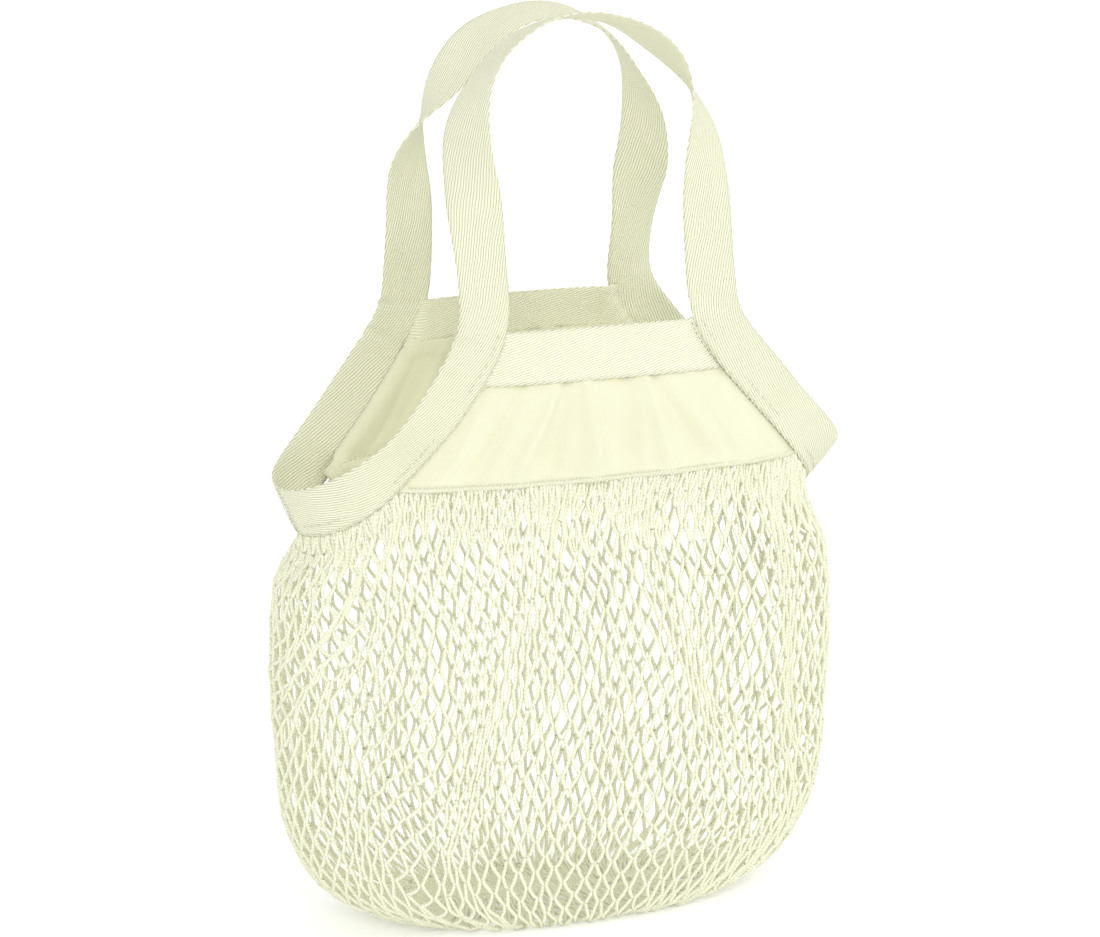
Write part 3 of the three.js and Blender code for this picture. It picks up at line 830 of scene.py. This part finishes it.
# Knots a little off their even places, as in a net knitted and handled
JITTER_ROUND, JITTER_DOWN, JITTER_IN = 0.0004, 0.0006, 0.0012
jitter = along_u * rng.normal(0, JITTER_ROUND, knots.shape[:2])[..., None]
jitter += along_v * rng.normal(0, JITTER_DOWN, knots.shape[:2])[..., None]
jitter[0] = 0
knots = knots + jitter - outward * rng.uniform(0, JITTER_IN, knots.shape[:2])[..., None]

STEPS = 6                  # straight steps in one bar of the net
ROUND = 6                  # sides of a cord
BESIDE_KNOT = 0.42         # how far each cord keeps to its side of a knot, as a share of CORD
IN_FRONT = 0.0002          # how far one of the two passes in front of the other
CURL = 0.30                # how strongly a cord leaves a knot downward, as a share of its bar
MOST_SAG = 0.0022
HEADING_SWAY = 0.07        # of a gathered cord, as a share of a column
HEADING_BEHIND = 0.0006    # how far the gathered cords hang behind the net's main cords


def sewn_start(place, down, out):
    """A short run of cord above the first knot, behind the edge that it is sewn to."""
    return np.array([place - down * 0.0040 - out * 0.0012, place - down * 0.0018 - out * 0.0006])


def chain_curve(knot_list, side_list):
    rows = np.array([k[0] for k in knot_list])
    columns = np.array([k[1] for k in knot_list])
    side = np.array(side_list, float)[:, None]
    node = knots[rows, columns]
    across, down, out = along_u[rows, columns], along_v[rows, columns], outward[rows, columns]
    place = node + across * side * CORD * BESIDE_KNOT + out * side * IN_FRONT
    gap = np.linalg.norm(np.diff(place, axis=0), axis=1)
    sag = np.clip(0.25 * np.sqrt(np.maximum(BAR**2 - gap**2, 0)), 0, MOST_SAG)[:, None, None]
    pull = np.full((len(gap), 1), BAR * CURL)
    t = (np.arange(STEPS) / STEPS)[None, :, None]
    h00, h10 = 2 * t**3 - 3 * t**2 + 1, t**3 - 2 * t**2 + t
    h01, h11 = -2 * t**3 + 3 * t**2, t**3 - t**2
    start, end = place[:-1, None], place[1:, None]
    curve = (h00 * start + h01 * end + h10 * down[:-1, None] * pull[:, None]
             + h11 * down[1:, None] * pull[:, None])
    droop = mix(down[:-1, None], down[1:, None], t)
    curve = curve + droop * sag * 4 * t * (1 - t)
    normal = mix(out[:-1, None], out[1:, None], t)
    curve = np.concatenate([sewn_start(place[0], down[0], out[0]), curve.reshape(-1, 3), place[-1:]])
    normal = np.concatenate([out[:1], out[:1], normal.reshape(-1, 3), out[-1:]])
    return curve, unit(normal)


def row_place(row, column):
    """A place between two knots of a row, with its outward direction, as a fraction of columns."""
    at = column - 0.5 * (row % 2)
    left = math.floor(at)
    share = at - left
    left, right = left % NET_COLUMNS, (left + 1) % NET_COLUMNS
    place = mix(knots[row, left], knots[row, right], share)
    return place, unit(mix(outward[row, left], outward[row, right], share))


def gather_curve(number, rows):
    """A cord of the gathered heading: it hangs straight through the top rows and ends at a knot."""
    column = (number + 0.5) / (2 * HEADING_CORDS)
    places, normals = [], []
    for row in range(rows + 1):
        sway = rng.uniform(-HEADING_SWAY, HEADING_SWAY)
        if row == rows:
            sway = round(column - 0.5 * (row % 2)) + 0.5 * (row % 2) - column
        place, out = row_place(row, column + sway)
        places.append(place - out * HEADING_BEHIND * (row < rows))
        normals.append(out)
    places, normals = np.array(places), np.array(normals)
    down = unit(places[1] - places[0])
    curve = np.concatenate([sewn_start(places[0], down, normals[0]), refine(places, 5)])
    normal = np.concatenate([normals[:1], normals[:1], refine(normals, 5)])
    return curve, unit(normal)


def cord_radius(curve, radius):
    """A cord's thickness along it, thinner where its end is sewn into the cloth."""
    return radius * np.concatenate([[0.35, 0.65], np.ones(len(curve) - 2)])


def tube(curve, normal, radius, sides):
    """Points and faces of a closed tube, with UVs of run and turn."""
    ahead = unit(np.gradient(curve, axis=0))
    side = unit(np.cross(ahead, normal))
    up = np.cross(side, ahead)
    angle = np.arange(sides) / sides * 2 * np.pi
    ring = (np.cos(angle)[None, :, None] * side[:, None] + np.sin(angle)[None, :, None] * up[:, None])
    points = (curve[:, None] + ring * np.broadcast_to(radius, len(curve))[:, None, None]).reshape(-1, 3)
    n = len(curve)
    base = (np.arange(n - 1) * sides)[:, None] + np.arange(sides)[None]
    turn = (np.arange(n - 1) * sides)[:, None] + (np.arange(sides) + 1) % sides
    faces = np.stack([base, turn, turn + sides, base + sides], -1).reshape(-1, 4)
    run = run_along(curve)
    u0 = np.repeat(run[:-1], sides)
    u1 = np.repeat(run[1:], sides)
    v0 = np.tile(np.arange(sides) / sides, n - 1)
    v1 = v0 + 1 / sides
    corners = ((u0, v0), (u0, v1), (u1, v1), (u1, v0))
    uv = np.stack([np.stack(corner, 1) for corner in corners], 1)
    return points, faces, uv


def tubes_object(name, curves, sides):
    """One mesh of many closed tubes: each curve comes with its normals and its radius."""
    all_points, quads, uvs, caps = [], [], [], []
    start = 0
    for number, (curve, normal, radius) in enumerate(curves):
        points, faces, uv = tube(curve, normal, radius, sides)
        # Start the weave elsewhere on each cord, so that the loops of neighbours don't line up
        uv[..., 0] += 0.0137 * number % 0.031
        all_points.append(points)
        quads.append(faces + start)
        uvs.append(uv)
        caps.append(list(range(start + sides - 1, start - 1, -1)))
        caps.append(list(range(start + len(points) - sides, start + len(points))))
        start += len(points)
    points = np.concatenate(all_points)
    faces = np.concatenate(quads).tolist() + caps
    flat = np.concatenate([np.concatenate(uvs).reshape(-1, 2), np.zeros((len(caps) * sides, 2))])
    return make_object(name, points, faces, flat)


# Sewing
TAPE_ROWS = (0.0014, 0.0068)   # stitch rows on a tape, from its inner edge
BAND_ROW = 0.0016              # stitch row on a band, from its lower edge
HEM = 0.0012                   # the over-sewn loops' middle, from the yoke's lower edge
LOOP_SPACING = 0.0022
ON_WEBBING = WEBBING_THICKNESS / 2 + 0.0001
ROW_THREAD = 0.00024           # half the thickness of each kind of thread
BAND_THREAD = 0.00018
HEM_THREAD = 0.00034
HEM_RUN_THREAD = 0.00022
SEAM_THREAD = 0.00030
# The next is for the dark threads that stand for the shadow in the seams, as painted shade
SEAM_SHADOW_THREAD = 0.00019
THREAD_SIDES = 5


def stitches(path, out, length=0.0020, gap=0.0013, radius=ROW_THREAD, lift=ON_WEBBING):
    """Short raised stitches along a path, as curves for tubes_object."""
    run = run_along(path)
    count = int(run[-1] / (length + gap))
    made = []
    for number in range(count):
        share = np.linspace(0, 1, 4)
        at = (number + 0.1) * (length + gap) + share * length
        curve = np.stack([np.interp(at, run, path[:, k]) for k in range(3)], 1)
        normal = unit(np.stack([np.interp(at, run, out[:, k]) for k in range(3)], 1))
        height = lift + radius * 0.4 * np.sin(share * np.pi) - radius * 0.6 * (np.abs(share - 0.5) > 0.4)
        made.append((curve + normal * height[:, None], normal, radius))
    return made


def seam_path(name, hand, inset):
    """A path along a tape's inner edge, inset into the tape, from the rim down to the side seam."""
    middle, across = TAPES[name]
    middle, across = refine(middle, 3), unit(refine(across, 3))
    ahead, across = square_up(middle, across)
    out = unit(np.cross(ahead, across))
    out *= np.sign(out[:, 1:2] * HANDLES[name]["facing"] + 1e-9)
    half = (len(middle) - 1) // 2
    pick = slice(half, None) if hand > 0 else slice(half, None, -1)
    path = (middle - across * (HALF_TAPE - inset))[pick]
    keep = path[:, 2] < HANDLES[name]["rim_lift"] + 0.001
    return path[keep], out[pick][keep]


sewing = []
for name in HANDLES:
    facing = HANDLES[name]["facing"]
    for hand in (-1, 1):
        for inset in TAPE_ROWS:
            path, out = seam_path(name, hand, inset)
            sewing += stitches(path, out)
            sewing += stitches(path, -out)
    band_end = -HANDLES[name]["rim_lift"] + BAND_HEIGHT
    row = panel_grid(name, [band_end - BAND_ROW], 120, BAND_TUCK)[0][0][4:-4]
    out = np.repeat([[0.0, facing, 0.0]], len(row), 0)
    sewing += stitches(row, out, radius=BAND_THREAD, lift=WEBBING_THICKNESS / 2)

    # The overlocked lower edge of a yoke, a little upright loop for every few millimetres
    row = panel_grid(name, [YOKE_DROP - HEM], 240, YOKE_TUCK, 0.0, yoke_wrinkles)[0][0][6:-6]
    run = run_along(row)
    for at in np.arange(0.001, run[-1], LOOP_SPACING):
        x, y, z = (np.interp(at, run, row[:, k]) for k in range(3))
        foot = np.array([x, y + facing * 0.0004, z - 0.0016])
        head = np.array([x + 0.0003, y + facing * 0.0005, z + 0.0012])
        curve = np.stack([mix(foot, head, t) for t in np.linspace(0, 1, 4)])
        sewing.append((curve, np.repeat([[0.0, facing, 0.0]], 4, 0), HEM_THREAD))
    curve = row + np.array([0, facing * 0.0006, 0.0016])
    sewing.append((curve, np.repeat([[0.0, facing, 0.0]], len(curve), 0), HEM_RUN_THREAD))

# Over-sewn stitches that close the seam between the two tapes at each side of the bag
grid, normal = tape_faces["front"]
last = len(grid) - 1
for end, back_from in ((0, 2), (last, last - 2)):
    for column in range(1, grid.shape[1] - 1):
        for face in (-1, 1):
            near = grid[back_from, column] + normal[back_from, column] * face * ON_WEBBING
            middle = grid[end, column] + normal[end, column] * face * 0.0011
            middle[1] = 0
            far = near * np.array([1, -1, 1])
            curve = refine(np.array([near, middle, far]), 3)
            sewing.append((curve, np.repeat([normal[end, column] * face], len(curve), 0), SEAM_THREAD))
stitching = tubes_object("stitching", sewing, THREAD_SIDES)
dress(stitching, thread)

# Painted shade: a dark dashed thread laid in the seam beside the front right tape, and on the inside
# of both back tapes, stands for the shadow in the gap between tape and panel
seam_shadows = []
for name in HANDLES:
    for hand in (-1, 1):
        if name == "front" and hand > 0:
            path, out = seam_path(name, hand, -0.0003)
            keep = path[:, 2] > -YOKE_DROP
            seam_shadows += stitches(path[keep], out[keep], length=0.0017, radius=SEAM_SHADOW_THREAD, lift=0.0003)
        if name == "back":
            path, out = seam_path(name, hand, 0.0007)
            seam_shadows += stitches(path, -out, length=0.0015, gap=0.0015, radius=SEAM_SHADOW_THREAD)
seam_shadow_lines = tubes_object("seam_shadow_lines", seam_shadows, THREAD_SIDES)
dress(seam_shadow_lines, painted_seam_shadow)

chains = net_chains()
PARTS = ("front_right", "back_right", "back_left", "front_left")
per_part = len(chains) // len(PARTS)
for number, part in enumerate(PARTS):
    curves = []
    for knot_list, side_list in chains[number * per_part:(number + 1) * per_part]:
        curve, normal = chain_curve(knot_list, side_list)
        curves.append((curve, normal, cord_radius(curve, CORD / 2)))
    for cord in range(HEADING_CORDS * number * per_part, HEADING_CORDS * (number + 1) * per_part):
        curve, normal = gather_curve(cord, int(rng.integers(2, 5)))
        curves.append((curve, normal, cord_radius(curve, HEADING_SHARE * CORD / 2)))
    piece = tubes_object(f"net_{part}", curves, ROUND)
    dress(piece, net_cotton)
    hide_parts("net_body")

# Floor and light
floor_material, nodes, links, bsdf = new_material("floor")
bsdf.inputs["Base Color"].default_value = (0.97, 0.975, 0.975, 1)
bsdf.inputs["Roughness"].default_value = 0.9
bsdf.inputs["Specular IOR Level"].default_value = 0.1
bsdf.inputs["Emission Color"].default_value = (1.0, 1.0, 1.0, 1)
bsdf.inputs["Emission Strength"].default_value = 0.15
FLOOR_REACH = 12
corners = [[x * FLOOR_REACH, y * FLOOR_REACH, FLOOR_Z] for x, y in ((-1, -1), (1, -1), (1, 1), (-1, 1))]
floor = make_object("floor", corners, [[0, 1, 2, 3]], hang=False)
floor.data.materials.append(floor_material)

world = bpy.data.worlds.new("studio")
world.use_nodes = True
world.node_tree.nodes["Background"].inputs["Color"].default_value = (0.985, 0.995, 1.0, 1)
world.node_tree.nodes["Background"].inputs["Strength"].default_value = 0.90
bpy.context.scene.world = world


def sun(name, direction, strength, spread, colour):
    light = bpy.data.lights.new(name, "SUN")
    light.energy = strength
    light.angle = math.radians(spread)
    light.color = colour
    obj = bpy.data.objects.new(name, light)
    obj.rotation_euler = Vector(direction).to_track_quat("-Z", "Y").to_euler()
    bpy.context.scene.collection.objects.link(obj)


sun("front_light", (0.41, 0.89, -0.50), 0.64, 25, (1.0, 0.995, 0.985))
sun("side_light", (-0.62, 0.42, -0.75), 0.55, 40, (1.0, 1.0, 0.99))

bpy.context.scene.view_settings.view_transform = "Standard"
bpy.context.scene.view_settings.look = "None"
